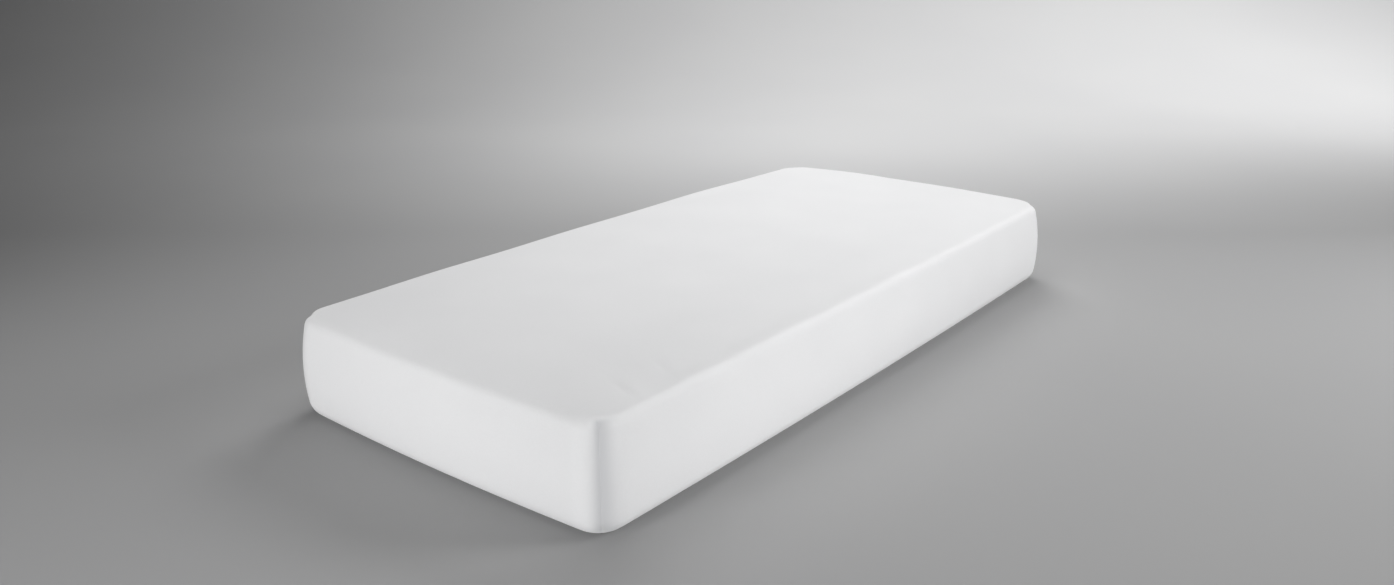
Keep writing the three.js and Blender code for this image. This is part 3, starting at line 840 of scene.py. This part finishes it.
# The cloth, the mattress and the stitches
cotton = brushed_cotton()
cloth = protector_cloth()
cloth.data.materials.append(cotton)
pad = mattress_pad()
pad.data.materials.append(woven_ticking())
tree, identifiers = stitch_tree(sewing_thread())
hem_places = [(line_on_cloth(*hem_line()), True)]
hem_stitches = stitches("hem_stitches", hem_places, tree, identifiers, HEM_STITCHES)
seam_places = [(line_on_cloth(a, b), False) for a, b in seam_lines()]
seam_stitches = stitches("seam_stitches", seam_places, tree, identifiers, SEAM_STITCHES)

for piece in (cloth, pad, hem_stitches, seam_stitches):
    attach(piece, "root")
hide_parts("mattress_protector")
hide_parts("mattress")

# The flat cut: the top, the four sides and the border under them, with a square out of each corner
skin = Skin(**CLOTH_SKIN)
border = skin.down + TUCK
flat_size = (2 * (skin.rim_x + border), 2 * (skin.rim_y + border))
flat_area = flat_size[0] * flat_size[1] - 4 * border**2

# The floor, which sweeps up into a backdrop
FLOOR_HALF = 9.0
SWEEP_START = 3.0
SWEEP_RADIUS = 6.0
SWEEP_STEPS = 48
BACKDROP_HEIGHT = 9.0


def floor_sweep():
    profile = [(-FLOOR_HALF, 0.0), (SWEEP_START, 0.0)]
    for step in range(1, SWEEP_STEPS + 1):
        angle = math.pi / 2 * step / SWEEP_STEPS
        distance = SWEEP_START + SWEEP_RADIUS * math.sin(angle)
        profile.append((distance, SWEEP_RADIUS * (1 - math.cos(angle))))
    profile.append((SWEEP_START + SWEEP_RADIUS, BACKDROP_HEIGHT))
    ahead = Vector((-back.x, -back.y, 0)).normalized()
    aside = Vector((-ahead.y, ahead.x, 0))
    points, quads = [], []
    for k, (distance, height) in enumerate(profile):
        for side in (-FLOOR_HALF, FLOOR_HALF):
            points.append(tuple(ahead * distance + aside * side + Vector((0, 0, height))))
        if k:
            quads.append((2 * k - 2, 2 * k, 2 * k + 1, 2 * k - 1))
    mesh = bpy.data.meshes.new("floor")
    mesh.from_pydata(points, [], quads)
    mesh.shade_smooth()
    made = bpy.data.objects.new("floor", mesh)
    bpy.context.scene.collection.objects.link(made)
    material, nodes = new_finish("plain pale floor")
    place = nodes.add("ShaderNodeTexCoord").output("Object")
    grain = noise(nodes, place, 0.9, 1.0)
    colour = two_tones(nodes, grain, (0.40, 0.40, 0.405), (0.43, 0.43, 0.43))
    close_finish(nodes, {"Roughness": 0.8, "Specular IOR Level": 0.3}, {"Base Color": colour})
    mesh.materials.append(material)
    return made


floor_sweep()

world = bpy.data.worlds.new("studio")
world.use_nodes = True
background = world.node_tree.nodes["Background"]
background.inputs["Color"].default_value = (0.97, 0.98, 1.0, 1.0)
background.inputs["Strength"].default_value = 0.02
bpy.context.scene.world = world
bpy.context.scene.view_settings.view_transform = "Standard"

LIGHTS = [
    {
        "name": "low at the foot, left",
        "place": (-2.06, -2.45, 0.5),
        "aim": (0.0, 0.0, 0.15),
        "width": 1.0,
        "height": 1.0,
        "power": 2.5,
        "spread": 90,
    },
    {
        "name": "low at the foot",
        "place": (0.0, -3.2, 0.5),
        "aim": (0.0, 0.0, 0.15),
        "width": 1.0,
        "height": 1.0,
        "power": 8.4,
        "spread": 90,
    },
    {
        "name": "strip at the near corner",
        "place": (2.77, -1.6, 0.2),
        "aim": (0.0, 0.0, 0.15),
        "width": 1.0,
        "height": 0.3,
        "power": 4.8,
        "spread": 70,
    },
    {
        "name": "beside the long side",
        "place": (2.77, 1.6, 1.6),
        "aim": (0.0, 0.0, 0.15),
        "width": 1.4,
        "height": 1.2,
        "power": 56.4,
        "spread": 180,
    },
    {
        "name": "over the foot",
        "place": (0.0, -1.2, 2.2),
        "aim": (0.0, -0.6, 0.15),
        "width": 1.4,
        "height": 1.4,
        "power": 6.4,
        "spread": 180,
    },
    {
        "name": "over the middle",
        "place": (0.0, 0.0, 2.2),
        "aim": (0.0, 0.0, 0.15),
        "width": 1.4,
        "height": 1.4,
        "power": 11.7,
        "spread": 180,
    },
    {
        "name": "past the head, left",
        "place": (-1.0, 1.8, 2.2),
        "aim": (-0.4, 0.9, 0.15),
        "width": 1.4,
        "height": 1.4,
        "power": 37.6,
        "spread": 180,
    },
    {
        "name": "on the backdrop, left",
        "place": (-1.15, 2.28, 3.5),
        "aim": (-3.92, 5.82, 1.5),
        "width": 2.5,
        "height": 2.5,
        "power": 165.8,
        "spread": 180,
    },
    {
        "name": "on the backdrop, right",
        "place": (1.61, 4.44, 3.0),
        "aim": (-1.56, 7.67, 1.0),
        "width": 2.5,
        "height": 2.5,
        "power": 240.4,
        "spread": 180,
    },
]
for row in LIGHTS:
    area_light(**row)
